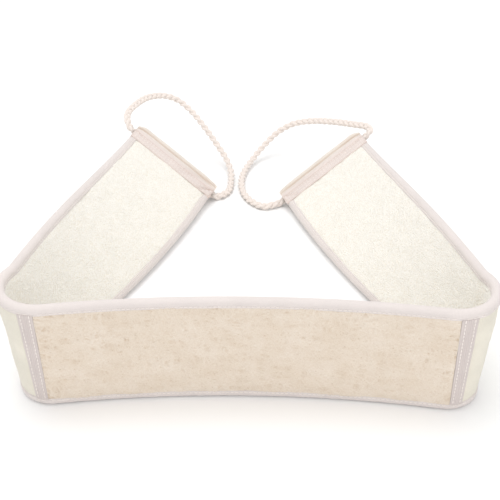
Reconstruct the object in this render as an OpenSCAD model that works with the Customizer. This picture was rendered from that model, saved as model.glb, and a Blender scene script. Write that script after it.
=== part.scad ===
// Loofah back scrubber: a padded washing strap that stands on its lower edge in a loop.
// Origin: under the middle of the loofah panel, on the surface that the strap stands on.
// +X runs to the right arm, +Y towards the rope handles, +Z is up. Millimetres.

/* [Strap] */
// Height of the strap, over its bindings
strap_w = 90; // [80:1:100]
// Length of the loofah panel between its edge tapes
panel_len = 278; // [240:2:300]
// Length of each arm, from the end of its bend to the end of its hem
arm_len = 289; // [250:1:310]

/* [Layers] */
// Thickness of the terry backing
terry_t = 1.5; // [1:0.1:2.5]
// Thickness of the foam core behind the loofah
foam_t = 2.5; // [2:0.1:4]
// Thickness of the loofah panel
loofah_t = 2; // [1.5:0.1:3]
// Thickness of the outer cover cloth on the arms
cover_t = 1.2; // [0.8:0.1:1.5]
// Thickness of the binding cloth
binding_t = 0.6; // [0.4:0.1:1]
// Width of the binding on each face
binding_w = 6.5; // [5:0.5:10]
// Width of the tape at each end of the loofah
tape_w = 7.5; // [5:0.5:12]
// Thickness of that tape
tape_t = 0.7; // [0.5:0.1:1]
// Thickness of the sewing thread
thread_t = 0.4; // [0.3:0.1:0.6]

/* [Rest pose] */
// Angle that the left bend turns through
left_fold = 132.5; // [125:0.5:135]
// Angle that the right bend turns through
right_fold = 136.5; // [130:0.5:138]
// Length at each end of the loofah panel that is already in the bend
bend_inset = 4; // [1:0.5:8]
// Radius of the left bend
left_bend_r = 21.3; // [19:0.1:26]
// Radius of the right bend
right_bend_r = 19.6; // [18:0.1:26]
// Radius of the panel's slight bow
panel_bow_r = 820; // [700:10:2000]
// Radius of the arms' bow
arm_bow_r = 885; // [800:5:2000]
// Outward lean of the panel and the bends
front_lean = 5.5; // [2:0.5:8]
// Outward lean half way along the arms
mid_lean = 35; // [25:1:40]
// Outward lean of the left hem
left_hem_lean = 54; // [45:1:60]
// Outward lean of the right hem
right_hem_lean = 56.5; // [45:0.5:60]
// Height that the rope props each hem up by
hem_lift = 3; // [3:0.5:6]

/* [Hems and rope] */
// Depth of each hem casing along the strap
hem_depth = 26; // [25:1:32]
// Length of strap that is sewn into the hem
hem_overlap = 8; // [6:0.5:10]
// Thickness of the hem cloth
hem_t = 0.8; // [0.6:0.1:1.2]
// Diameter of the braided rope
rope_d = 6; // [5:0.5:7]
// Free space round the rope in the hem
rope_clear = 1; // [0.5:0.1:1.5]
// Length of the thread binding round the rope's joint
whipping_len = 20; // [12:1:30]

/* [Hidden] */

LEFT = -1;
RIGHT = 1;
DEG = 180 / PI;
// How far a cutter passes the faces that it cuts
CUT = 1;

// Offsets across the thickness, from the middle of the sandwich outwards
sandwich_t = terry_t + foam_t + loofah_t;
inner_face = -sandwich_t / 2;
outer_face = sandwich_t / 2;
terry_face = inner_face + terry_t;
loofah_back = outer_face - loofah_t;
cover_back = outer_face - cover_t;
half_t = outer_face + binding_t;

// Distances along the strap from the middle of the panel
panel_half = panel_len / 2;
bend_start = panel_half - bend_inset;
function fold(s) = s < 0 ? left_fold : right_fold;
function bend_r(s) = s < 0 ? left_bend_r : right_bend_r;
function hem_lean(s) = s < 0 ? left_hem_lean : right_hem_lean;
function bend_len(s) = bend_r(s) * fold(s) / DEG;
function bend_end(s) = bend_start + bend_len(s);
soft_len = arm_len - hem_depth;
function hem_start(s) = bend_end(s) + soft_len;

// The bottom edge's direction in plan, in degrees, s along the strap and negative on the left
panel_turn = -bend_start / panel_bow_r * DEG;
arm_turn = -soft_len / arm_bow_r * DEG;
function heading(s) =
    let (a = abs(s), b = bend_end(s))
    a < bend_start ? -a / panel_bow_r * DEG
    : a < b ? panel_turn + (a - bend_start) / bend_r(s) * DEG
    : panel_turn + fold(s) + arm_turn * min(a - b, soft_len) / soft_len;

// Step in plan along an arc of radius r that starts at direction from and ends at direction to
function arc_step(from, to, r) = r * [sin(to) - sin(from), cos(from) - cos(to)];

// The bottom edge in plan, as if on the right
function edge_right(s) =
    let (
        a = abs(s), b = bend_end(s), h = heading(s),
        at_bend = arc_step(0, panel_turn, -panel_bow_r),
        at_arm = at_bend + arc_step(panel_turn, panel_turn + fold(s), bend_r(s))
    )
    a < bend_start ? arc_step(0, h, -panel_bow_r)
    : a < b ? at_bend + arc_step(panel_turn, h, bend_r(s))
    : at_arm + arc_step(panel_turn + fold(s), h, -arm_bow_r)
        + max(0, a - b - soft_len) * [cos(h), sin(h)];

// Share of the arm behind a station, from 0 at the bend to 1 at the hem
function along_arm(s) = min(1, max(0, (abs(s) - bend_end(s)) / soft_len));

// Outward lean: a parabola through the bend, the middle of the arm and the hem
function lean(s) =
    let (u = along_arm(s), e = hem_lean(s))
    front_lean + (4 * mid_lean - 3 * front_lean - e) * u
        + 2 * (front_lean + e - 2 * mid_lean) * u * u;

// Height of the middle of the bottom edge, so that its outer corner rests on the ground
function edge_z(s) = half_t * sin(lean(s)) + hem_lift * pow(along_arm(s), 2);

// The bottom of the panel is pressed flat, and the bends run out of that flat
function pressed(s) = min(1, max(0, (bend_end(s) - abs(s)) / bend_len(s)));

// A point of the strap: h up across it, t outwards through it
function strap_point(s, h, t) =
    let (
        side = s < 0 ? LEFT : RIGHT, k = lean(s), d = heading(s), p = edge_right(s),
        up = h > 0 ? h : pressed(s) * (t - half_t) * tan(k),
        out = up * sin(k) + t * cos(k)
    )
    [side * (p[0] + out * sin(d)), p[1] - out * cos(d), edge_z(s) + up * cos(k) - t * sin(k)];

// Stations along each stretch, with a hair's breadth between stretches that hinge apart
HINGE_GAP = 0.02;
PANEL_STEPS = 12;
TAPE_STEPS = 3;
BEND_STEPS = 8;
ARM_STEPS = 23;
function side_order(side, list) =
    side > 0 ? list : [for (i = [len(list) - 1:-1:0]) -list[i]];
panel_stations = concat(
    [-panel_half, -panel_half + bend_inset / 2],
    [for (i = [0:PANEL_STEPS]) bend_start * (2 * i / PANEL_STEPS - 1)],
    [panel_half - bend_inset / 2, panel_half]
);
function tape_stations(side) =
    side_order(side, [for (i = [0:TAPE_STEPS]) panel_half + tape_w * i / TAPE_STEPS]);
function bend_stations(side) =
    let (start = panel_half + tape_w, length = bend_end(side) - start - HINGE_GAP)
    side_order(side, concat(
        [panel_half + HINGE_GAP],
        [for (i = [1:TAPE_STEPS]) panel_half + tape_w * i / TAPE_STEPS],
        [for (i = [1:BEND_STEPS]) start + length * i / BEND_STEPS]
    ));
function arm_stations(side, last) =
    side_order(side, concat(
        [for (i = [0:ARM_STEPS]) bend_end(side) + soft_len * i / ARM_STEPS],
        [hem_start(side) + last]
    ));
left_bend = bend_stations(LEFT);
right_bend = bend_stations(RIGHT);
left_arm = arm_stations(LEFT, hem_overlap);
right_arm = arm_stations(RIGHT, hem_overlap);

// Sections are lists of [h, t], clockwise as seen from the left end of the strap
top_h = strap_w - binding_t;
mid_h = strap_w / 2;
function layer(back, front) = [
    [binding_t, back], [binding_w, back], [mid_h, back], [strap_w - binding_w, back],
    [top_h, back], [top_h, front],
    [strap_w - binding_w, front], [mid_h, front], [binding_w, front], [binding_t, front]
];
bottom_channel = [
    [0, -half_t], [binding_w, -half_t], [binding_w, inner_face], [binding_t, inner_face],
    [binding_t, outer_face], [binding_w, outer_face], [binding_w, half_t], [0, half_t]
];
top_channel = [for (i = [len(bottom_channel) - 1:-1:0])
    [strap_w - bottom_channel[i][0], bottom_channel[i][1]]];
tape_section = [
    [binding_w, outer_face], [strap_w - binding_w, outer_face],
    [strap_w - binding_w, outer_face + tape_t], [binding_w, outer_face + tape_t]
];
stitch_inset = 1.5;
function stitch_row(h, t) =
    let (w = thread_t)
    t < 0 ? [[h, t - w], [h + w, t], [h - w, t]] : [[h - w, t], [h + w, t], [h, t + w]];

// A solid with one section along a list of stations, triangulated alike on left and right.
// A layer's ends are a ladder of quads, because its section has corners that are in line.
module sweep(stations, section, is_layer = false) {
    n = len(section);
    last = (len(stations) - 1) * n;
    points = [for (s = stations, q = section) strap_point(s, q[0], q[1])];
    sides = [
        for (i = [0:len(stations) - 2], j = [0:n - 1])
        let (k = (j + 1) % n, a = i * n + j, b = i * n + k, c = b + n, d = a + n)
        each (section[j][0] <= section[k][0]) == (stations[i] >= 0)
            ? [[a, c, b], [a, d, c]] : [[a, d, b], [b, d, c]]
    ];
    first_caps = is_layer
        ? [for (j = [0:n / 2 - 2]) [j, j + 1, n - 2 - j, n - 1 - j]]
        : [[for (j = [0:n - 1]) j]];
    last_caps = [for (cap = first_caps) [for (j = [len(cap) - 1:-1:0]) last + cap[j]]];
    polyhedron(points, concat(first_caps, sides, last_caps));
}

module stitching(stations) {
    rows = [binding_w - stitch_inset, strap_w - binding_w + stitch_inset];
    color("white")
        for (h = rows, t = [-half_t, half_t])
            sweep(stations, stitch_row(h, t));
}

module terry(stations) {
    color([0.97, 0.95, 0.88]) sweep(stations, layer(inner_face, terry_face), true);
}

module foam(stations, front) {
    color([0.95, 0.93, 0.80]) sweep(stations, layer(terry_face, front), true);
}

module cover(stations) {
    color([0.96, 0.94, 0.86]) sweep(stations, layer(cover_back, outer_face), true);
}

module binding(stations, section) {
    color([0.94, 0.90, 0.87]) sweep(stations, section);
}

module loofah_panel() {
    color([0.90, 0.83, 0.72]) sweep(panel_stations, layer(loofah_back, outer_face), true);
}

module edge_tape(side) {
    color([0.92, 0.88, 0.86]) sweep(tape_stations(side), tape_section);
}

// The hem's own frame: X along the strap, Y inwards, Z up across the strap
module at_hem(side) {
    s = side * hem_start(side);
    p = strap_point(s, 0, 0);
    corner = [p[0] * side, p[1], edge_z(s)];
    mirror([side < 0 ? 1 : 0, 0, 0])
        translate(corner)
            rotate([lean(s), 0, heading(s)])
                children();
}

tunnel_r = rope_d / 2 + rope_clear;
flange_y = half_t + hem_t;
casing_y = max(flange_y, tunnel_r + hem_t);
web_t = 1;
tunnel_x = hem_overlap + web_t + tunnel_r;
tunnel_end_x = hem_depth - 2 * hem_t - tunnel_r;
mouth_inset = 4;

module hem_outline() {
    difference() {
        union() {
            polygon([
                [0, -flange_y], [hem_overlap, -flange_y], [tunnel_x, -casing_y],
                [hem_depth - casing_y, -casing_y], [hem_depth - casing_y, casing_y],
                [tunnel_x, casing_y], [hem_overlap, flange_y], [0, flange_y]
            ]);
            translate([hem_depth - casing_y, 0]) circle(r = casing_y, $fn = 48);
        }
        translate([-CUT, -half_t]) square([hem_overlap + CUT, 2 * half_t]);
        translate([tunnel_x, 0]) circle(r = tunnel_r, $fn = 48);
        translate([tunnel_end_x, 0]) circle(r = tunnel_r, $fn = 48);
        translate([tunnel_x, -tunnel_r]) square([tunnel_end_x - tunnel_x, 2 * tunnel_r]);
    }
}

module hem_casing(side) {
    color([0.95, 0.91, 0.88])
        at_hem(side) linear_extrude(strap_w) hem_outline();
}

module hem_stitching(side) {
    row_x = hem_overlap / 2;
    color("white")
        at_hem(side)
            for (y = [-flange_y - thread_t, flange_y])
                translate([row_x - thread_t, y, binding_w])
                    cube([2 * thread_t, thread_t, strap_w - 2 * binding_w]);
}

module rope_in_hem(side) {
    color([0.95, 0.91, 0.88])
        at_hem(side)
            translate([tunnel_x, 0, mouth_inset])
                cylinder(h = strap_w - 2 * mouth_inset, d = rope_d, $fn = 48);
}

module rope_whipping(side) {
    color("white")
        at_hem(side)
            translate([tunnel_x, 0, (strap_w - whipping_len) / 2])
                difference() {
                    cylinder(h = whipping_len, d = rope_d + 2 * thread_t, $fn = 48);
                    translate([0, 0, -CUT])
                        cylinder(h = whipping_len + 2 * CUT, d = rope_d, $fn = 48);
                }
}

// Routes of the free ropes, from just outside the top mouth to just outside the bottom mouth
left_rope_route = [
    [-120, 300, 66], [-121, 311, 68], [-117, 325, 69], [-108, 347, 67], [-95, 365, 61],
    [-81, 372, 53], [-67, 366, 43], [-54, 354, 32], [-42, 342, 20], [-33, 331, 11],
    [-28, 317, 5], [-27, 300, 3.2], [-28, 284, 3.2], [-33, 275, 3.5]
];
right_rope_route = [
    [100, 293, 61], [97, 301, 61], [86, 313, 57], [70, 330, 51], [51, 348, 43],
    [33, 359, 35], [17, 361, 25], [3, 353, 14], [-8, 339, 6], [-15, 320, 3.3],
    [-17, 298, 3.2], [-14, 278, 3.2], [-6, 263, 3.2], [4, 255, 3.2], [13, 257, 3.5]
];

// The mouths of a tunnel: a point on its axis at height h, and the direction up the axis
function tunnel_axis(side) =
    let (s = side * hem_start(side))
    strap_point(s, 1, 0) - strap_point(s, 0.5, 0);
function tunnel_point(side, h) =
    let (
        s = side * hem_start(side), d = heading(s),
        up = tunnel_axis(side) / norm(tunnel_axis(side))
    )
    [side * edge_right(s)[0], edge_right(s)[1], edge_z(s)] + h * up
        + tunnel_x * [side * cos(d), sin(d), 0];

// Outward direction of the hem's face, which the rope's loop lies roughly square to
function hem_normal(side) =
    let (s = side * hem_start(side), d = heading(s), k = lean(s))
    [side * sin(d) * cos(k), -cos(d) * cos(k), -sin(k)];

// A smooth curve through the points, straight at both ends
ROPE_SUBSTEPS = 2;
ROPE_SIDES = 10;
function curve_at(p, i, u) =
    let (m0 = (p[i + 1] - p[i - 1]) / 2, m1 = (p[i + 2] - p[i]) / 2)
    p[i] * (2 * pow(u, 3) - 3 * pow(u, 2) + 1) + m0 * (pow(u, 3) - 2 * pow(u, 2) + u)
        + p[i + 1] * (3 * pow(u, 2) - 2 * pow(u, 3)) + m1 * (pow(u, 3) - pow(u, 2));
function smooth(p) = concat(
    [for (i = [1:len(p) - 3], k = [0:ROPE_SUBSTEPS - 1]) curve_at(p, i, k / ROPE_SUBSTEPS)],
    [p[len(p) - 2]]
);

exit_len = mouth_inset + 4;
module rope_loop(side, route) {
    r = rope_d / 2;
    out = hem_normal(side);
    top = strap_w - mouth_inset;
    guide = concat(
        [tunnel_point(side, top - exit_len), tunnel_point(side, top)],
        [tunnel_point(side, top + exit_len)], route,
        [tunnel_point(side, mouth_inset - exit_len), tunnel_point(side, mouth_inset)],
        [tunnel_point(side, mouth_inset + exit_len)]
    );
    path = smooth(guide);
    last = len(path) - 1;
    ring = [for (j = [0:ROPE_SIDES - 1]) 360 * j / ROPE_SIDES];
    points = [
        for (i = [0:last])
        let (
            ahead = i == 0 ? tunnel_axis(side)
                : i == last ? tunnel_axis(side)
                : path[i + 1] - path[i - 1],
            t = ahead / norm(ahead),
            side_way = cross(t, out), u = side_way / norm(side_way), v = cross(t, u)
        )
        for (a = ring) path[i] + r * (cos(a) * u + sin(a) * v)
    ];
    n = ROPE_SIDES;
    sides = [
        for (i = [0:last - 1], j = [0:n - 1])
        let (k = (j + 1) % n, a = i * n + j, b = i * n + k)
        each [[a, a + n, b], [b, a + n, b + n]]
    ];
    color([0.95, 0.91, 0.88])
        polyhedron(
            points,
            concat([[for (j = [0:n - 1]) j]], sides, [[for (j = [n - 1:-1:0]) last * n + j]])
        );
}

loofah_panel();
foam(panel_stations, loofah_back);  // foam_centre
terry(panel_stations);  // terry_centre
binding(panel_stations, top_channel);  // top_binding_centre
binding(panel_stations, bottom_channel);  // bottom_binding_centre
stitching(panel_stations);  // stitching_centre
edge_tape(LEFT);  // left_edge_tape
cover(left_bend);  // left_bend_cover
foam(left_bend, cover_back);  // left_bend_foam
terry(left_bend);  // left_bend_terry
binding(left_bend, top_channel);  // left_bend_top_binding
binding(left_bend, bottom_channel);  // left_bend_bottom_binding
stitching(left_bend);  // left_bend_stitching
edge_tape(RIGHT);  // right_edge_tape
cover(right_bend);  // right_bend_cover
foam(right_bend, cover_back);  // right_bend_foam
terry(right_bend);  // right_bend_terry
binding(right_bend, top_channel);  // right_bend_top_binding
binding(right_bend, bottom_channel);  // right_bend_bottom_binding
stitching(right_bend);  // right_bend_stitching
cover(left_arm);  // left_arm_cover
foam(left_arm, cover_back);  // left_arm_foam
terry(left_arm);  // left_arm_terry
binding(left_arm, top_channel);  // left_arm_top_binding
binding(left_arm, bottom_channel);  // left_arm_bottom_binding
stitching(arm_stations(LEFT, 0));  // left_arm_stitching
hem_casing(LEFT);  // left_hem_casing
hem_stitching(LEFT);  // left_hem_stitching
cover(right_arm);  // right_arm_cover
foam(right_arm, cover_back);  // right_arm_foam
terry(right_arm);  // right_arm_terry
binding(right_arm, top_channel);  // right_arm_top_binding
binding(right_arm, bottom_channel);  // right_arm_bottom_binding
stitching(arm_stations(RIGHT, 0));  // right_arm_stitching
hem_casing(RIGHT);  // right_hem_casing
hem_stitching(RIGHT);  // right_hem_stitching
rope_loop(LEFT, left_rope_route);  // left_rope_loop
rope_in_hem(LEFT);  // left_rope_in_hem
rope_whipping(LEFT);  // left_rope_whipping
rope_loop(RIGHT, right_rope_route);  // right_rope_loop
rope_in_hem(RIGHT);  // right_rope_in_hem
rope_whipping(RIGHT);  // right_rope_whipping
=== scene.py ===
import math

import bpy
import numpy as np
from mathutils import Matrix, Vector


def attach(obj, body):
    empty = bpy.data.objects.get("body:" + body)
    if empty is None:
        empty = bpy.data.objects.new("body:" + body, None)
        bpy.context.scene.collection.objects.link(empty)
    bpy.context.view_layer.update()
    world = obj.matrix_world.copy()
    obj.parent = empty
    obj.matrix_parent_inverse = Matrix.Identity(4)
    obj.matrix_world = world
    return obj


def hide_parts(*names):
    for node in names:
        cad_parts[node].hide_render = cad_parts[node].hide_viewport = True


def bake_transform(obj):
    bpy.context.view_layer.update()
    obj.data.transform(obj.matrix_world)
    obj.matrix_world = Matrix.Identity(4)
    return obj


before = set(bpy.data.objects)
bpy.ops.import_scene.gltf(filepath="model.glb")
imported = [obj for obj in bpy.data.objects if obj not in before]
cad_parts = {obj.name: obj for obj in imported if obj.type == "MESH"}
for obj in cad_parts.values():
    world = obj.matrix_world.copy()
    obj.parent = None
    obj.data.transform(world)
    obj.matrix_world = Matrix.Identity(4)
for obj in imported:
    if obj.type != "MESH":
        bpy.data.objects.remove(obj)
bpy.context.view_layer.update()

random = np.random.default_rng(7)

# The strap's sizes in millimetres, as in part.scad
MM = 0.001
STRAP_W = 90.0
PANEL_HALF = 139.0
BEND_START = 135.0
SOFT_LEN = 263.0
FOLD = {-1: 132.5, 1: 136.5}
BEND_R = {-1: 21.3, 1: 19.6}
HEM_LEAN = {-1: 54.0, 1: 56.5}
PANEL_BOW_R = 820.0
ARM_BOW_R = 885.0
FRONT_LEAN = 5.5
MID_LEAN = 35.0
HEM_LIFT = 3.0
FACE = 3.0
HALF_T = 3.6
BINDING_W = 6.5
TAPE_W = 7.5
HEM_DEPTH = 26.0
HEM_OVERLAP = 8.0
HEM_T = 0.8
FLANGE_Y = 4.4
CASING_Y = 4.8
TUNNEL_X = 13.0
ROPE_D = 6.0
MOUTH_INSET = 4.0

# Where the drawn layers lie, in millimetres: up the strap, along a hem and in from a tape's edge
INNER_H = 5.6
UPPER_H = STRAP_W - INNER_H
HEM_FOLD_X = HEM_DEPTH - CASING_Y
HEM_SEAMS = (2.6, 6.4, 9.6)
TAPE_SEAM = 1.6
STITCH_ROW = 5.0
STITCH_PITCH = 3.2
STITCH_HALF = 1.25
STITCH_R = 0.26
STITCH_OUT = 3.42

SIDES = {"left": -1, "right": 1}
BODIES = {
    side: ["strap_centre", f"{side}_bend_near", f"{side}_bend_far", f"{side}_arm"]
    for side in SIDES
}
ZONES = ("near", "middle", "far")


# ---------------------------------------------------------------- the strap's shape
def bend_len(side):
    return BEND_R[side] * math.radians(FOLD[side])


def bend_end(side):
    return BEND_START + bend_len(side)


def hem_start(side):
    return bend_end(side) + SOFT_LEN


def arc_step(start, end, radius):
    return radius * np.stack([np.sin(end) - np.sin(start), np.cos(start) - np.cos(end)], -1)


def bottom_edge(a, side):
    """Where the bottom edge runs in plan, a along it, and its direction, as if on the right."""
    bend, fold = bend_len(side), math.radians(FOLD[side])
    turn = -BEND_START / PANEL_BOW_R
    on_panel = np.minimum(a, BEND_START)
    on_bend = np.clip(a - BEND_START, 0, bend)
    on_arm = np.clip(a - BEND_START - bend, 0, SOFT_LEN)
    on_hem = np.maximum(a - hem_start(side), 0)
    first = -on_panel / PANEL_BOW_R
    second = turn + on_bend / BEND_R[side]
    third = turn + fold - on_arm / ARM_BOW_R
    place = arc_step(0 * first, first, -PANEL_BOW_R)
    place = place + arc_step(0 * second + turn, second, BEND_R[side])
    place = place + arc_step(0 * third + turn + fold, third, -ARM_BOW_R)
    place = place + on_hem[..., None] * np.stack([np.cos(third), np.sin(third)], -1)
    direction = first + on_bend / BEND_R[side] - on_arm / ARM_BOW_R
    return place, direction


def strap_side(a, h, t, side):
    """Points of one half of the strap, in mm: a along it, h up across it, t outwards."""
    a, h, t = np.broadcast_arrays(np.asarray(a, float), h, t)
    place, direction = bottom_edge(a, side)
    u = np.clip((a - bend_end(side)) / SOFT_LEN, 0, 1)
    end = HEM_LEAN[side]
    lean = FRONT_LEAN + (4 * MID_LEAN - 3 * FRONT_LEAN - end) * u
    lean = np.radians(lean + 2 * (FRONT_LEAN + end - 2 * MID_LEAN) * u * u)
    out = h * np.sin(lean) + t * np.cos(lean)
    z = HALF_T * np.sin(lean) + HEM_LIFT * u * u + h * np.cos(lean) - t * np.sin(lean)
    x = side * (place[..., 0] + out * np.sin(direction))
    return np.stack([x, place[..., 1] - out * np.cos(direction), z], -1)


def strap(s, h, t):
    """Points of the strap: s from the middle of the panel, negative on the left."""
    s, h, t = np.broadcast_arrays(np.asarray(s, float), h, t)
    left, right = strap_side(-s, h, t, -1), strap_side(s, h, t, 1)
    return np.where((s < 0)[..., None], left, right)


def hem_point(side, x, y, z):
    """A point in the hem's own frame: x along the strap, y inwards, z up across the strap."""
    x, y, z = np.broadcast_arrays(np.asarray(x, float), y, z)
    start = hem_start(side)
    place, heading = bottom_edge(np.array(start), side)
    lean = math.radians(HEM_LEAN[side])
    inwards = y * math.cos(lean) - z * math.sin(lean)
    along = x * math.cos(heading) - inwards * math.sin(heading)
    across = x * math.sin(heading) + inwards * math.cos(heading)
    up = HALF_T * math.sin(lean) + HEM_LIFT + y * math.sin(lean) + z * math.cos(lean)
    return np.stack([side * (place[0] + along), place[1] + across, up], -1)


# ---------------------------------------------------------------- meshes
# A unit of uv is this many millimetres of cloth
UV_UNIT = 100
SHARP_ANGLE = math.radians(60)


def loft(name, rings, uv, material):
    """One mesh of tubes: rings[tube, station, point], each tube capped at both ends."""
    tubes, stations, points = rings.shape[:3]
    index = np.arange(tubes * stations * points).reshape(tubes, stations, points)
    beside = np.roll(index, -1, axis=2)
    a, b = index[:, :-1], beside[:, :-1]
    c, d = beside[:, 1:], index[:, 1:]
    quads = np.stack([a, b, c, d], -1).reshape(-1, 4)
    caps = np.concatenate([index[:, 0, ::-1], index[:, -1]])
    co = rings.reshape(-1, 3)
    p = co[quads[:, 0]] - co[quads[:, 2]]
    q = co[quads[:, 1]] - co[quads[:, 3]]
    middle = co[quads].mean(1) - co.mean(0)
    if tubes > 1:
        middle = middle - (rings.mean((1, 2)) - co.mean(0)).repeat((stations - 1) * points, 0)
    if (np.cross(p, q) * middle).sum() < 0:
        quads, caps = quads[:, ::-1], caps[:, ::-1]
    mesh = bpy.data.meshes.new(name)
    mesh.vertices.add(len(co))
    mesh.vertices.foreach_set("co", (co * MM).ravel())
    loops = np.concatenate([quads.ravel(), caps.ravel()])
    mesh.loops.add(len(loops))
    mesh.loops.foreach_set("vertex_index", loops)
    starts = np.arange(len(quads)) * 4
    cap_starts = len(quads) * 4 + np.arange(len(caps)) * points
    mesh.polygons.add(len(quads) + len(caps))
    mesh.polygons.foreach_set("loop_start", np.concatenate([starts, cap_starts]))
    mesh.update(calc_edges=True)
    mesh.validate()
    layer = mesh.uv_layers.new(name="cloth")
    corner = np.empty(len(mesh.loops), np.int32)
    mesh.loops.foreach_get("vertex_index", corner)
    layer.data.foreach_set("uv", (uv.reshape(-1, 2) / UV_UNIT)[corner].ravel())
    mesh.polygons.foreach_set("use_smooth", np.ones(len(mesh.polygons), bool))
    mesh.set_sharp_from_angle(angle=SHARP_ANGLE)
    mesh.materials.append(material)
    piece = bpy.data.objects.new(name, mesh)
    bpy.context.scene.collection.objects.link(piece)
    return piece


def colour_points(piece, values, name="depth"):
    """A grey level at each point, which the material reads."""
    layer = piece.data.color_attributes.new(name, "FLOAT_COLOR", "POINT")
    v = np.clip(values.ravel(), 0, 1)
    layer.data.foreach_set("color", np.stack([v, v, v, np.ones_like(v)], -1).ravel())


def ring_of(front, back):
    """Across a layer's front and back again on its other face."""
    return np.concatenate([front, back[..., ::-1]], -1)


def slab(name, s, h, front, back, material):
    """A layer between two faces given over the grid of s and h."""
    grid_s, grid_h = np.meshgrid(s, h, indexing="ij")
    ring_s, ring_h = ring_of(grid_s, grid_s), ring_of(grid_h, grid_h)
    rings = strap(ring_s, ring_h, ring_of(front, back))
    return loft(name, rings[None], np.stack([ring_s, ring_h], -1)[None], material)


# ---------------------------------------------------------------- smooth noise
def wander(values, scale, seed):
    """Smooth random waves along one coordinate, within about -1 to 1."""
    waves = np.random.default_rng(seed)
    total = 0 * values
    for _ in range(5):
        k = 2 * math.pi / scale * waves.uniform(0.5, 1.6)
        total = total + np.sin(values * k + waves.uniform(0, 2 * math.pi)) / 2.5
    return total


def wander2(s, h, scale, seed):
    """Smooth random waves over s and h, within about -1 to 1."""
    waves = np.random.default_rng(seed)
    total = 0 * (s + h)
    for _ in range(14):
        angle, k = waves.uniform(0, math.pi), 2 * math.pi / scale * waves.uniform(0.5, 1.6)
        travel = s * math.cos(angle) + h * math.sin(angle)
        total = total + np.sin(k * travel + waves.uniform(0, 6.3))
    return total / 4.5


def grain(s, h, seed):
    """A repeatable random number for each grid point, the same in every piece."""
    a = np.sin(np.round(s * 10) * 12.9898 + np.round(h * 10) * 78.233 + seed) * 43758.5453
    return a - np.floor(a)


# ---------------------------------------------------------------- materials
WHITE = [1, 1, 1]
# Blender's band texture has this many bands in a unit
BANDS = 3.18


def linear(red, green, blue):
    """A screen colour, 0 to 255, as the shaders take it."""
    return [((v / 255 + 0.055) / 1.055) ** 2.4 for v in (red, green, blue)]


class Cloth:
    """A fabric material, built up node by node."""

    def __init__(self, name, colour, roughness=0.9, sheen=0.25):
        self.material = bpy.data.materials.new(name)
        self.material.use_nodes = True
        self.tree = self.material.node_tree
        self.shader = self.tree.nodes["Principled BSDF"]
        self.shader.inputs["Roughness"].default_value = roughness
        self.shader.inputs["Sheen Weight"].default_value = sheen
        self.shader.inputs["Sheen Roughness"].default_value = 0.5
        self.shader.inputs["Specular IOR Level"].default_value = 0.2
        self.shader.inputs["Base Color"].default_value = (*colour, 1)
        self.uv = self.node("ShaderNodeUVMap")
        self.uv.uv_map = "cloth"

    def node(self, kind, **settings):
        made = self.tree.nodes.new(kind)
        for key, value in settings.items():
            setattr(made, key, value)
        return made

    def link(self, start, end):
        self.tree.links.new(start, end)

    def scaled(self, across, along):
        """The uv, in units of the given sizes in mm."""
        mapping = self.node("ShaderNodeMapping")
        mapping.inputs["Scale"].default_value = (UV_UNIT / across, UV_UNIT / along, 1)
        self.link(self.uv.outputs["UV"], mapping.inputs["Vector"])
        return mapping.outputs["Vector"]

    def noise(self, across, along, detail=3.0):
        made = self.node("ShaderNodeTexNoise")
        made.inputs["Scale"].default_value = 1.0
        made.inputs["Detail"].default_value = detail
        self.link(self.scaled(across, along), made.inputs["Vector"])
        return made.outputs["Fac"]

    def threads(self, pitch, direction):
        """Ribs of one thread system, crossed at every pitch."""
        made = self.node("ShaderNodeTexWave", wave_type="BANDS", bands_direction=direction)
        made.inputs["Scale"].default_value = 1 / BANDS
        made.inputs["Distortion"].default_value = 1.2
        made.inputs["Detail"].default_value = 1.0
        made.inputs["Detail Scale"].default_value = 0.6
        self.link(self.scaled(pitch, pitch), made.inputs["Vector"])
        return made.outputs["Fac"]

    def math(self, operation, first, second):
        made = self.node("ShaderNodeMath", operation=operation)
        for place, value in enumerate((first, second)):
            if isinstance(value, (int, float)):
                made.inputs[place].default_value = value
            else:
                self.link(value, made.inputs[place])
        return made.outputs[0]

    def tint(self, factor, low, high, dark, light):
        """Colour from dark to light as factor goes from low to high."""
        ramp = self.node("ShaderNodeValToRGB")
        ramp.color_ramp.elements[0].position = low
        ramp.color_ramp.elements[1].position = high
        ramp.color_ramp.elements[0].color = (*dark, 1)
        ramp.color_ramp.elements[1].color = (*light, 1)
        self.link(factor, ramp.inputs["Fac"])
        return ramp.outputs["Color"]

    def paint(self, colour):
        self.link(colour, self.shader.inputs["Base Color"])

    def multiply(self, first, second, factor=1.0):
        mix = self.node("ShaderNodeMix", data_type="RGBA", blend_type="MULTIPLY")
        mix.inputs["Factor"].default_value = factor
        self.link(first, mix.inputs["A"])
        self.link(second, mix.inputs["B"])
        return mix.outputs["Result"]

    def bump(self, height, strength, distance_mm):
        made = self.node("ShaderNodeBump")
        made.inputs["Strength"].default_value = strength
        made.inputs["Distance"].default_value = distance_mm * MM
        self.link(height, made.inputs["Height"])
        self.link(made.outputs["Normal"], self.shader.inputs["Normal"])


def shade(colour, factor):
    return [c * factor for c in colour]


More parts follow.
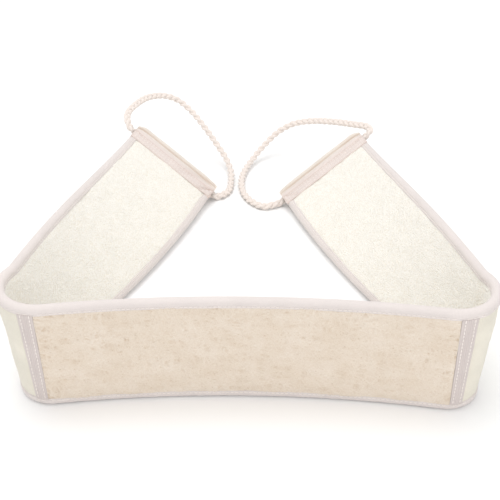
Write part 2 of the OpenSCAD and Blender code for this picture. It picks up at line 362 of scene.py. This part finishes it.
def woven(name, colour, pitch, depth, dirt=0.9, end_colour=None):
    """Plain weave, slightly cloudy. A hem's weave takes end_colour past its seam, and painted
    shade in its seams, groove and gathers.
    """
    cloth = Cloth(name, colour)
    warp, weft = cloth.threads(pitch, "X"), cloth.threads(pitch, "Y")
    weave = cloth.math("MULTIPLY", warp, weft)
    weave = cloth.math("ADD", weave, cloth.math("MULTIPLY", cloth.noise(0.5, 0.5), 0.5))
    base = cloth.tint(weave, 0.0, 1.1, shade(colour, 0.80), shade(colour, 1.05))
    clouds = cloth.tint(cloth.noise(28, 28), 0.35, 0.7, shade(WHITE, dirt), WHITE)
    base = cloth.multiply(base, clouds)
    if end_colour:
        tone = cloth.node("ShaderNodeVertexColor", layer_name="depth").outputs["Color"]
        base = cloth.multiply(base, cloth.tint(tone, 0.0, 1.0, WHITE, end_colour))
        # Painted shade, darker in the hem's seams, groove and gathers
        shade_in_folds = cloth.node("ShaderNodeVertexColor", layer_name="shade_in_folds").outputs["Color"]
        painted_fold_shade = cloth.tint(shade_in_folds, 0.0, 1.0, linear(233, 222, 215), WHITE)
        base = cloth.multiply(base, painted_fold_shade)
    cloth.paint(base)
    cloth.bump(weave, 0.7, depth)
    return cloth.material


def pile(name, colour, dark):
    """Terry: close loops with painted shade down between them, lighter at their tips, with the
    rows just showing.
    """
    cloth = Cloth(name, colour, roughness=1.0, sheen=0.4)
    loops = cloth.node("ShaderNodeTexVoronoi", feature="F1")
    loops.inputs["Scale"].default_value = 1.0
    cloth.link(cloth.scaled(1.15, 0.95), loops.inputs["Vector"])
    tips = cloth.math("SUBTRACT", 1.0, loops.outputs["Distance"])
    height = cloth.math("ADD", tips, cloth.math("MULTIPLY", cloth.noise(0.45, 0.45), 0.6))
    # Painted shade: darker down between the loops, lighter at their tips
    base = cloth.tint(height, 0.45, 1.25, dark, colour)
    clouds = cloth.tint(cloth.noise(14, 10), 0.35, 0.7, [0.97, 0.967, 0.96], WHITE)
    cloth.paint(cloth.multiply(base, clouds))
    cloth.bump(height, 0.75, 0.8)
    return cloth.material


def fibre(name):
    """Loofah: pale raised fibres over a mat in painted shade, darker and browner by the depth of
    the mesh.
    """
    cloth = Cloth(name, linear(226, 208, 184), roughness=0.85, sheen=0.1)
    depth = cloth.node("ShaderNodeVertexColor", layer_name="depth").outputs["Color"]
    # Painted shade: darker and browner where the fibre mat lies deeper
    base = cloth.tint(depth, 0.0, 0.8, linear(216, 201, 184), linear(231, 221, 209))
    strands = cloth.noise(2.2, 0.35, 5.0)
    cross = cloth.noise(0.35, 2.0, 5.0)
    fine = cloth.math("MULTIPLY", cloth.math("ADD", strands, cross), 0.5)
    lines = cloth.tint(fine, 0.34, 0.6, linear(236, 227, 216), WHITE)
    flecks = cloth.tint(cloth.noise(1.6, 1.1, 4.0), 0.27, 0.36, linear(214, 196, 175), WHITE)
    clouds = cloth.tint(cloth.noise(24, 18, 2.0), 0.3, 0.7, linear(248, 245, 241), WHITE)
    coloured = cloth.multiply(cloth.multiply(base, lines, 0.8), flecks, 0.7)
    cloth.paint(cloth.multiply(coloured, clouds))
    cloth.bump(fine, 0.7, 0.35)
    return cloth.material


def twisted(name, colour, pitch=0.9):
    """Yarn: fine slanting filaments."""
    cloth = Cloth(name, colour, roughness=0.8, sheen=0.3)
    made = cloth.node("ShaderNodeTexWave", wave_type="BANDS", bands_direction="DIAGONAL")
    made.inputs["Scale"].default_value = 1 / BANDS
    made.inputs["Distortion"].default_value = 1.0
    cloth.link(cloth.scaled(pitch, pitch), made.inputs["Vector"])
    filaments = cloth.math("ADD", made.outputs["Fac"], cloth.noise(0.4, 0.4))
    cloth.paint(cloth.tint(filaments, 0.2, 1.4, shade(colour, 0.84), colour))
    cloth.bump(filaments, 0.5, 0.15)
    return cloth.material


def foam_material():
    """Soft foam with small cells."""
    cloth = Cloth("foam_core", linear(240, 232, 205), roughness=1.0, sheen=0.0)
    cells = cloth.noise(0.6, 0.6, 4.0)
    cloth.paint(cloth.tint(cells, 0.3, 0.7, linear(222, 212, 180), linear(246, 240, 218)))
    cloth.bump(cells, 0.6, 0.4)
    return cloth.material


LOOFAH = fibre("loofah_fibre")
# Its second colour is the painted shade between the loops
TERRY = pile("terry_pile", linear(252, 249, 242), linear(242, 236, 224))
COVER = woven("cover_cotton", linear(243, 237, 222), 0.8, 0.25)
BINDING = woven("binding_cotton", linear(233, 224, 220), 0.55, 0.15, 0.95)
TAPE = woven("tape_cotton", linear(219, 208, 204), 0.9, 0.3, 0.95)
HEM = woven("hem_cotton", linear(240, 227, 221), 0.7, 0.3, 0.95, [1.03, 1.07, 1.03])
ROPE = twisted("rope_cotton", linear(234, 224, 217))
THREAD = twisted("sewing_cotton", linear(246, 238, 232), 0.5)
FOAM = foam_material()


# ---------------------------------------------------------------- camera, first
FOCAL_MM = 77.08
CAMERA_PLACE = (0.02665, -0.5782, 0.4974)
PITCH, YAW, ROLL = (math.radians(v) for v in (33.0, -2.39, -0.82))


def make_camera():
    """The camera, from its place, its direction and its roll."""
    forward = Vector((
        math.sin(YAW) * math.cos(PITCH), math.cos(YAW) * math.cos(PITCH), -math.sin(PITCH)
    ))
    level = Vector((math.cos(YAW), -math.sin(YAW), 0))
    upright = level.cross(forward)
    right = math.cos(ROLL) * level + math.sin(ROLL) * upright
    up = -math.sin(ROLL) * level + math.cos(ROLL) * upright
    data = bpy.data.cameras.new("photo_camera")
    data.lens = FOCAL_MM
    data.sensor_width = 36.0
    camera = bpy.data.objects.new("photo_camera", data)
    turn = Matrix((right, up, -forward)).transposed().to_4x4()
    camera.matrix_world = Matrix.Translation(CAMERA_PLACE) @ turn
    bpy.context.scene.collection.objects.link(camera)
    bpy.context.scene.camera = camera


# ---------------------------------------------------------------- ropes, next
# Routes in metres, from just outside the top mouth to just outside the bottom mouth
ROPE_ROUTES = {
    "left": [
        (-0.120, 0.300, 0.066), (-0.121, 0.311, 0.068), (-0.117, 0.325, 0.069),
        (-0.108, 0.347, 0.067), (-0.095, 0.365, 0.061), (-0.081, 0.372, 0.053),
        (-0.067, 0.366, 0.043), (-0.054, 0.354, 0.032), (-0.042, 0.342, 0.020),
        (-0.033, 0.331, 0.011), (-0.028, 0.317, 0.005), (-0.027, 0.300, 0.0032),
        (-0.028, 0.284, 0.0032), (-0.033, 0.275, 0.0035),
    ],
    "right": [
        (0.100, 0.293, 0.061), (0.097, 0.301, 0.061), (0.086, 0.313, 0.057),
        (0.070, 0.330, 0.051), (0.051, 0.348, 0.043), (0.033, 0.359, 0.035),
        (0.017, 0.361, 0.025), (0.003, 0.353, 0.014), (-0.008, 0.339, 0.006),
        (-0.015, 0.320, 0.0033), (-0.017, 0.298, 0.0032), (-0.014, 0.278, 0.0032),
        (-0.006, 0.263, 0.0032), (0.004, 0.255, 0.0032), (0.013, 0.257, 0.0035),
    ],
}
EXIT_LEN = MOUTH_INSET + 4
STRANDS = 3
STRAND_SIDES = 10
STRAND_R = 1.5
PLAIT_WIDE = 1.6
PLAIT_DEEP = 1.15
PLAIT_PITCH = 20.0


def smooth_curve(points, substeps):
    """A smooth curve through all but the first and last of the points."""
    p = np.array(points)
    curve = []
    for i in range(1, len(p) - 2):
        for k in range(substeps):
            u = k / substeps
            m0, m1 = (p[i + 1] - p[i - 1]) / 2, (p[i + 2] - p[i]) / 2
            curve.append(
                p[i] * (2 * u**3 - 3 * u**2 + 1) + m0 * (u**3 - 2 * u**2 + u)
                + p[i + 1] * (3 * u**2 - 2 * u**3) + m1 * (u**3 - u**2)
            )
    curve.append(p[-2])
    return np.array(curve)


def run_of(path):
    """How far along the path each point is."""
    return np.concatenate([[0], np.cumsum(np.linalg.norm(np.diff(path, axis=0), axis=1))])


def resample(path, step):
    """The same path with points that are evenly spaced."""
    run = run_of(path)
    at = np.linspace(0, run[-1], max(3, int(round(run[-1] / step)) + 1))
    return np.stack([np.interp(at, run, path[:, k]) for k in range(3)], -1)


def carried_frame(path, start_normal):
    """Two directions square to the path at each point, carried along without twist."""
    tangent = np.gradient(path, axis=0)
    tangent /= np.linalg.norm(tangent, axis=1)[:, None]
    normals, normal = [], start_normal
    for t in tangent:
        normal = normal - np.dot(normal, t) * t
        normal = normal / np.linalg.norm(normal)
        normals.append(normal)
    normals = np.array(normals)
    return normals, np.cross(tangent, normals)


def braid(name, path, start_normal):
    """A plait of three strands, each swinging across the rope and over the next."""
    path = resample(path, 0.8)
    u, v = carried_frame(path, start_normal)
    run = run_of(path)
    turn = np.linspace(0, 2 * math.pi, STRAND_SIDES, endpoint=False)
    strands = []
    for n in range(STRANDS):
        phase = 2 * math.pi * (run / PLAIT_PITCH + n / STRANDS)
        sway = PLAIT_WIDE * np.sin(phase)
        dip = PLAIT_DEEP * np.sin(2 * phase)
        centre = path + sway[:, None] * v + dip[:, None] * u
        along = np.gradient(centre, axis=0)
        along /= np.linalg.norm(along, axis=1)[:, None]
        wide = np.cross(along, u)
        wide /= np.linalg.norm(wide, axis=1)[:, None]
        deep = np.cross(wide, along)
        ring = centre[:, None] + 0.92 * STRAND_R * np.cos(turn)[:, None] * deep[:, None]
        strands.append(ring + 1.08 * STRAND_R * np.sin(turn)[:, None] * wide[:, None])
    rings = np.array(strands)
    uv = np.stack(np.meshgrid(run, np.arange(STRAND_SIDES) * 0.9, indexing="ij"), -1)
    return loft(name, rings, np.broadcast_to(uv, rings.shape[:3] + (2,)), ROPE), path


def make_rope(side_name):
    """A rope's free loop, and the rope inside the hem."""
    side = SIDES[side_name]
    top = STRAP_W - MOUTH_INSET

    def in_hem(z):
        return hem_point(side, TUNNEL_X, 0, z)

    guide = [in_hem(top - EXIT_LEN), in_hem(top), in_hem(top + EXIT_LEN)]
    guide += [np.array(p) / MM for p in ROPE_ROUTES[side_name]]
    guide += [in_hem(MOUTH_INSET + step) for step in (-EXIT_LEN, 0, EXIT_LEN)]
    normal = hem_point(side, 0, -1, 0) - hem_point(side, 0, 0, 0)
    loop, line = braid(f"{side_name}_rope", smooth_curve(guide, 6), normal)
    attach(loop, f"{side_name}_handle")
    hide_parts(f"{side_name}_rope_loop")
    straight = np.array([in_hem(z) for z in (MOUTH_INSET, STRAP_W / 2, top)])
    inside, _ = braid(f"{side_name}_rope_inside", straight, normal)
    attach(inside, f"{side_name}_handle")
    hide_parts(f"{side_name}_rope_in_hem")


make_camera()
for side_name in SIDES:
    make_rope(side_name)


# ---------------------------------------------------------------- placing a stretch
class Stretch:
    """A length of the strap that moves as one with its body, or a bend zone between two bodies,
    left where it lies.
    """

    def __init__(self, name, ends, bodies, node):
        self.name, self.ends, self.bodies, self.node = name, ends, bodies, node
        self.start, self.end = min(ends), max(ends)

    def stations(self, step):
        count = max(2, int(round((self.end - self.start) / step)) + 1)
        return np.linspace(self.start, self.end, count)

    def grid(self, step, rows, first_h=INNER_H):
        """Stations, heights, and the two over a grid."""
        s, h = self.stations(step), np.linspace(first_h, STRAP_W - first_h, rows)
        return s, h, *np.meshgrid(s, h, indexing="ij")

    def place(self, piece, node, slot):
        """Attach a piece to this stretch's one body, or, for two bodies, bake it where it lies, in
        place of a CAD node if one is given.
        """
        if len(self.bodies) == 1:
            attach(piece, self.bodies[0])
        else:
            ends = [strap(np.array(s), STRAP_W / 2, 0.0) * MM for s in self.ends]
            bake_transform(piece)
        if node:
            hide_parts(node)

    def place_layer(self, piece, layer, slot):
        self.place(piece, self.node.format(layer), slot)


def make_stretches():
    """The panel, then each side's bend in three zones and its arm."""
    made = [Stretch("centre", (-PANEL_HALF, PANEL_HALF), ["strap_centre"], "{}_centre")]
    for side_name, side in SIDES.items():
        part = (bend_end(side) - PANEL_HALF) / len(ZONES)
        for k, zone in enumerate(ZONES):
            ends = [side * (PANEL_HALF + part * (k + n)) for n in (0, 1)]
            bodies = BODIES[side_name][k:k + 2]
            made.append(Stretch(f"{side_name}_bend_{zone}", ends, bodies, side_name + "_bend_{}"))
        ends = (side * bend_end(side), side * (hem_start(side) + HEM_OVERLAP - 1))
        made.append(Stretch(f"{side_name}_arm", ends, [f"{side_name}_arm"], side_name + "_arm_{}"))
    return made


STRETCHES = make_stretches()


# ---------------------------------------------------------------- layers
def groove(x, middle, width):
    """A smooth hump of height 1 at the middle."""
    return np.exp(-((x - middle) / width) ** 2)


def rim(h, width):
    """0 at the bindings, rising to 1 within the width."""
    inside = np.minimum(h - INNER_H, UPPER_H - h) / width
    return np.sqrt(np.clip(inside * (2 - inside), 0, 1) * (inside < 1) + (inside >= 1))


def fibre_relief(s, h):
    """A mat of crossing fibres, drawn one by one onto the grid. Heights from 0 to 1."""
    step_s, step_h = s[1] - s[0], h[1] - h[0]
    relief = np.zeros((len(s), len(h)))
    length, width = s[-1] - s[0], h[-1] - h[0]
    for _ in range(3400):
        lengthwise = random.random() < 0.55
        angle = random.normal(0, 0.35) + (0 if lengthwise else math.pi / 2)
        reach = random.uniform(10, 45)
        run = np.arange(-reach / 2, reach / 2, 0.4)
        bow = random.normal(0, 0.012) * run * run
        x = random.uniform(0, length) + run * math.cos(angle) - bow * math.sin(angle)
        y = random.uniform(-4, width + 4) + run * math.sin(angle) + bow * math.cos(angle)
        height = random.uniform(0.25, 1.0)
        thick = random.uniform(0.3, 0.8)
        for off in (-thick, 0, thick):
            i = np.round((x - off * math.sin(angle)) / step_s).astype(int)
            j = np.round((y + off * math.cos(angle)) / step_h).astype(int)
            good = (i >= 0) & (i < len(s)) & (j >= 0) & (j < len(h))
            np.maximum.at(relief, (i[good], j[good]), height * (1.0 if off == 0 else 0.72))
    return relief


def make_loofah(stretch):
    s, h, grid_s, grid_h = stretch.grid(0.6, 132)
    relief = fibre_relief(s, h)
    swell = 0.7 * rim(grid_h, 9) + 0.25 * wander2(grid_s, grid_h, 34, 3)
    front = FACE - 0.35 + swell + 0.75 * relief
    piece = slab("loofah_panel_fibre", s, h, front, np.full_like(front, 1.0), LOOFAH)
    # Painted shade by how high each point of the fibre mat lies, with a little random tone
    depth = relief + 0.15 * wander2(grid_s, grid_h, 12, 4)
    colour_points(piece, ring_of(depth, depth))
    stretch.place(piece, "loofah_panel", "loofah")


def make_terry(stretch):
    s, h, grid_s, grid_h = stretch.grid(1.15, 70)
    swell = 0.75 * rim(grid_h, 8) + 0.35 * wander2(grid_s, grid_h, 40, 5)
    loops = 0.42 * grain(grid_s, grid_h, 2.0) + 0.12 * wander2(grid_s, grid_h, 6, 6)
    front = -(FACE - 0.45 + swell + loops)
    piece = slab(f"{stretch.name}_terry_pile", s, h, front, np.full_like(front, -1.5), TERRY)
    stretch.place_layer(piece, "terry", "terry")


def make_cover(stretch):
    s, h, grid_s, grid_h = stretch.grid(1.6, 52)
    swell = 0.5 * rim(grid_h, 9) + 0.4 * wander2(grid_s, grid_h, 46, 8) * rim(grid_h, 20)
    front = FACE - 0.3 + swell + 0.08 * wander2(grid_s, grid_h, 7, 9)
    piece = slab(f"{stretch.name}_cover_cloth", s, h, front, np.full_like(front, 1.8), COVER)
    stretch.place_layer(piece, "cover", "cover_cloth")


def make_foam(stretch):
    s, h, grid_s, _ = stretch.grid(2.5, 30, 1.2)
    front = np.full_like(grid_s, 0.9 if stretch.name == "centre" else 1.7)
    piece = slab(f"{stretch.name}_foam_core", s, h, front, np.full_like(grid_s, -1.4), FOAM)
    stretch.place_layer(piece, "foam", "foam")


def binding_profile():
    """Across the folded binding, from its inner hem over the edge to its outer hem."""
    turn = np.linspace(-math.pi / 2, math.pi / 2, 13)
    radius = HALF_T + 0.05
    round_h, round_t = radius - radius * np.cos(turn), radius * np.sin(turn)
    hem_h = [BINDING_W + 0.15, BINDING_W, BINDING_W - 0.5]
    seam_h = [STITCH_ROW + 0.5, STITCH_ROW, STITCH_ROW - 0.5]
    flat_h = np.array([*hem_h, *seam_h, 4.2])
    flat_t = np.array([2.9, 3.35, 3.62, 3.5, 3.3, 3.5, 3.66])
    h = np.concatenate([flat_h, round_h, flat_h[::-1]])
    t = np.concatenate([-flat_t, round_t, flat_t[::-1]])
    return h, t


def make_binding(stretch, edge):
    s = stretch.stations(0.8)
    h, t = binding_profile()
    along = run_of(np.stack([h, t], -1))
    seed = 11 if edge == "top" else 12
    crown = groove(h, 3.4, 1.6)
    pucker = 0.05 * np.cos(2 * math.pi * s / STITCH_PITCH)[:, None]
    loose = 0.14 * wander2(s[:, None], along[None], 11, seed) + pucker
    sway = 0.15 * wander(s, 17, seed)[:, None] * (h[None] > 6)
    outer_t = t[None] * (1 + loose * crown[None] / HALF_T)
    outer_h = np.maximum(h[None] + sway, 0.03)
    inner_t, inner_h = outer_t * 0.86, outer_h + 0.5 * (outer_h < 3.5)
    ring_h, ring_t = ring_of(outer_h, inner_h), ring_of(outer_t, inner_t)
    if edge == "top":
        ring_h = STRAP_W - ring_h
    grid_s = np.broadcast_to(s[:, None], ring_h.shape)
    across = np.broadcast_to(ring_of(along, along), ring_h.shape)
    rings, uv = strap(grid_s, ring_h, ring_t), np.stack([grid_s, across], -1)
    piece = loft(f"{stretch.name}_{edge}_binding_tape", rings[None], uv[None], BINDING)
    stretch.place_layer(piece, f"{edge}_binding", "binding")


def stitches(name, places, half=STITCH_HALF):
    """Short stitches. places turns offsets along, up and out into every stitch's points."""
    along = np.array([-1, -0.85, -0.45, 0, 0.45, 0.85, 1]) * half
    thick = np.array([0.35, 0.8, 1, 1, 1, 0.8, 0.35]) * STITCH_R
    lift = np.array([-0.9, -0.2, 0.35, 0.5, 0.35, -0.2, -0.9]) * STITCH_R
    turn = np.linspace(0, 2 * math.pi, 6, endpoint=False)
    up = thick[:, None] * np.cos(turn)
    out = lift[:, None] + thick[:, None] * np.sin(turn)
    rings = places(np.broadcast_to(along[:, None], up.shape), up, out)
    uv = np.stack(np.broadcast_arrays(along[:, None], turn[None] * 0.3), -1)
    return loft(name, rings, np.broadcast_to(uv, rings.shape[:3] + (2,)), THREAD)


def make_stitching(stretch):
    first = math.ceil((stretch.start + STITCH_HALF) / STITCH_PITCH - 0.5)
    last = math.floor((stretch.end - STITCH_HALF) / STITCH_PITCH - 0.5)
    middles = (np.arange(first, last + 1) + 0.5)[:, None, None] * STITCH_PITCH

    def places(along, up, out):
        return np.concatenate([
            strap(middles + along, h + up, face * (STITCH_OUT + out))
            for h in (STITCH_ROW, STRAP_W - STITCH_ROW) for face in (-1, 1)
        ])

    piece = stitches(f"{stretch.name}_stitches", places)
    stretch.place_layer(piece, "stitching", "thread")


for stretch in STRETCHES:
    if stretch.name == "centre":
        make_loofah(stretch)
    else:
        make_cover(stretch)
    make_foam(stretch)
    make_terry(stretch)
    make_binding(stretch, "top")
    make_binding(stretch, "bottom")
    make_stitching(stretch)


# ---------------------------------------------------------------- end tapes
def make_edge_tape(side_name):
    """The tape over the loofah's end, placed as the bend's first zone is."""
    side = SIDES[side_name]
    stretch = next(x for x in STRETCHES if x.name == f"{side_name}_bend_near")
    near, far = PANEL_HALF + 0.2, PANEL_HALF + TAPE_W
    s = np.linspace(near, far, 41)
    s = s if side > 0 else -s[::-1]
    h = np.linspace(BINDING_W - 0.8, STRAP_W - BINDING_W + 0.8, 72)
    grid_s, grid_h = np.meshgrid(s, h, indexing="ij")
    across = (np.abs(grid_s) - near) / (far - near)
    edge = np.minimum(across, 1 - across) * TAPE_W
    ribs = 0.10 * np.cos(2 * math.pi * across * 5)
    seam = -0.28 * groove(edge, TAPE_SEAM, 0.4)
    front = FACE + 0.75 + 0.25 * np.clip(edge / 1.2, 0, 1) + ribs + seam
    front = front + 0.12 * wander2(grid_s, grid_h, 16, 14)
    piece = slab(f"{side_name}_end_tape", s, h, front, np.full_like(front, FACE - 0.2), TAPE)
    stretch.place(piece, f"{side_name}_edge_tape", "tape")

    middles = np.arange(BINDING_W + 1, STRAP_W - BINDING_W - 1, STITCH_PITCH) + STITCH_PITCH / 2
    middles = middles[:, None, None]

    def places(along, up, out):
        return np.concatenate([
            strap(side * row + up, middles + along, FACE + 0.86 + out)
            for row in (near + TAPE_SEAM, far - TAPE_SEAM)
        ])

    thread = stitches(f"{side_name}_end_tape_stitches", places)
    stretch.place(thread, None, "thread")


for side_name in SIDES:
    make_edge_tape(side_name)


# ---------------------------------------------------------------- hems
def hem_outline():
    """Round the hem in its own x and y, from one sewn edge over the fold to the other."""
    turn = np.linspace(-math.pi / 2, math.pi / 2, 17)
    lead_x = np.concatenate([np.linspace(0, 8.0, 17), np.linspace(8.5, HEM_FOLD_X - 0.3, 26)])
    lead_y = np.where(lead_x < 8.2, FLANGE_Y, CASING_Y)
    x = np.concatenate([lead_x, HEM_FOLD_X + CASING_Y * np.cos(turn), lead_x[::-1]])
    y = np.concatenate([-lead_y, CASING_Y * np.sin(turn), lead_y[::-1]])
    return x, y


def hem_gathers(x, z, side):
    """Folds that fan out from both mouths, deepest at the left hem's bottom mouth."""
    from_bottom, from_top = z + 3, STRAP_W + 3 - z
    near, fan = np.hypot(x - TUNNEL_X, from_bottom), np.arctan2(x - TUNNEL_X, from_bottom)
    depth = 1.3 if side < 0 else 0.6
    gathers = depth * np.cos(9 * fan + near * 0.12) * np.exp(-near / 17)
    near, fan = np.hypot(x - TUNNEL_X, from_top), np.arctan2(x - TUNNEL_X, from_top)
    return gathers + 0.5 * np.cos(8 * fan) * np.exp(-near / 9)


def make_hem_cloth(side_name):
    """The folded cloth: seams and a groove pressed in, gathers at the mouths, corners pulled, and
    painted shade in the seams, groove and gathers.
    """
    side = SIDES[side_name]
    x, y = hem_outline()
    grid_x, grid_z = np.meshgrid(x, np.linspace(0, STRAP_W, 151), indexing="xy")
    grid_y = np.broadcast_to(y, grid_x.shape)
    shape = 0.45 * groove(grid_x, 13.4, 2.6) - 0.35 * groove(grid_x, 0, 0.7)
    for middle, depth, width in zip(HEM_SEAMS, (0.30, 0.28, 0.75), (0.45, 0.5, 0.8)):
        shape -= depth * groove(grid_x, middle, width)
    shape -= 1.25 * groove(grid_x, 18.2, 1.3)
    tube = np.clip((grid_x - 9) / 3, 0, 1)
    shape += 0.20 * tube * wander2(grid_x * 3.4, grid_z, 44, 21 + side)
    gathers = hem_gathers(grid_x, grid_z, side)
    outer_y = grid_y + grid_y / CASING_Y * (shape + gathers)

    past_seam = np.clip((grid_x - 8) / 18, 0, 1)
    top_pull = 6.0 * np.clip((grid_z - (STRAP_W - 9)) / 9, 0, 1) ** 2
    bottom_pull = 3.5 * np.clip((8 - grid_z) / 8, 0, 1) ** 2
    outer_x = grid_x - (top_pull + bottom_pull) * past_seam
    inner_x = outer_x - HEM_T * np.maximum(grid_x - HEM_FOLD_X, 0) / CASING_Y
    inner_y = outer_y - HEM_T * np.sign(outer_y) * np.minimum(1, np.abs(outer_y) / 2)

    ring_x, ring_y = ring_of(outer_x, inner_x), ring_of(outer_y, inner_y)
    ring_z = ring_of(grid_z, grid_z)
    along = run_of(np.stack([x, y], -1))
    across = np.broadcast_to(ring_of(along, along), ring_x.shape)
    rings, uv = hem_point(side, ring_x, ring_y, ring_z), np.stack([across, ring_z], -1)
    piece = loft(f"{side_name}_hem_cloth", rings[None], uv[None], HEM)
    colour_points(piece, (ring_of(grid_x, grid_x) - 12) / 5)
    # Painted shade: 1 on the smooth cloth, lower where the seams, the groove and the gathers dip
    # in
    shade_in_folds = 1 + 0.8 * np.minimum(shape, 0) + 0.8 * np.minimum(gathers, 0)
    colour_points(piece, ring_of(shade_in_folds, shade_in_folds), "shade_in_folds")
    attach(piece, f"{side_name}_arm")
    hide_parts(f"{side_name}_hem_casing")


def make_hem_stitches(side_name):
    """Three rows on each face of the hem."""
    side = SIDES[side_name]
    middles = np.arange(2.5, STRAP_W - 2, 3.0)[:, None, None]
    depths = (FLANGE_Y - 0.22, FLANGE_Y - 0.2, CASING_Y - 0.7)

    def places(along, up, out):
        return np.concatenate([
            hem_point(side, row + up, face * (depth + out), middles + along)
            for row, depth in zip(HEM_SEAMS, depths) for face in (-1, 1)
        ])

    thread = stitches(f"{side_name}_hem_stitches", places, half=1.15)
    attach(thread, f"{side_name}_arm")
    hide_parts(f"{side_name}_hem_stitching")


for side_name in SIDES:
    make_hem_cloth(side_name)
    make_hem_stitches(side_name)


# ---------------------------------------------------------------- thread round the rope's joint
def make_whipping(side_name):
    """One thread wound round the rope inside the hem."""
    side = SIDES[side_name]
    turns, length = 24, 20.0
    turn = np.linspace(0, 2 * math.pi * turns, turns * 14)
    rise = (STRAP_W - length) / 2 + length * turn / turn[-1]
    radius = ROPE_D / 2 + 0.2
    line = np.stack([TUNNEL_X + radius * np.cos(turn), radius * np.sin(turn), rise], -1)
    out = np.stack([np.cos(turn), np.sin(turn), 0 * turn], -1)
    around = np.linspace(0, 2 * math.pi, 6, endpoint=False)
    outwards = np.cos(around)[None, :, None] * out[:, None]
    upwards = np.sin(around)[None, :, None] * np.array([0, 0, 1.0])
    ring = line[:, None] + 0.3 * (outwards + upwards)
    rings = hem_point(side, ring[..., 0], ring[..., 1], ring[..., 2])
    uv = np.stack(np.broadcast_arrays(turn[:, None] * radius, around[None] * 0.3), -1)
    piece = loft(f"{side_name}_rope_binding_thread", rings[None], uv[None], THREAD)
    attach(piece, f"{side_name}_handle")
    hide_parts(f"{side_name}_rope_whipping")


for side_name in SIDES:
    make_whipping(side_name)


# ---------------------------------------------------------------- room and light
def make_stage():
    """A white floor that runs past the view."""
    mesh = bpy.data.meshes.new("floor")
    reach = 6.0
    corners = [(x * reach, y * reach, 0) for x, y in ((-1, -1), (1, -1), (1, 1), (-1, 1))]
    mesh.from_pydata(corners, [], [(0, 1, 2, 3)])
    floor = bpy.data.objects.new("floor", mesh)
    bpy.context.scene.collection.objects.link(floor)
    material = bpy.data.materials.new("white_floor")
    material.use_nodes = True
    shader = material.node_tree.nodes["Principled BSDF"]
    shader.inputs["Base Color"].default_value = (0.93, 0.93, 0.93, 1)
    shader.inputs["Roughness"].default_value = 0.8
    mesh.materials.append(material)


def area_light(name, place, target, size, power):
    data = bpy.data.lights.new(name, "AREA")
    data.shape = "DISK"
    data.size = size
    data.energy = power
    light = bpy.data.objects.new(name, data)
    light.location = place
    aim = Vector(target) - Vector(place)
    light.rotation_euler = aim.to_track_quat("-Z", "Y").to_euler()
    bpy.context.scene.collection.objects.link(light)


def make_lights():
    """A bright white room, a soft key from above and a weak fill from the front."""
    world = bpy.data.worlds.new("studio")
    world.use_nodes = True
    background = world.node_tree.nodes["Background"]
    background.inputs["Color"].default_value = (1, 1, 1, 1)
    background.inputs["Strength"].default_value = 0.86
    bpy.context.scene.world = world
    area_light("key", (-0.2, 0.25, 1.6), (0, 0.12, 0), 1.3, 11.0)
    area_light("fill", (0.3, -1.2, 0.7), (0, 0.0, 0), 1.2, 3.5)
    bpy.context.scene.view_settings.view_transform = "Standard"


make_stage()
make_lights()
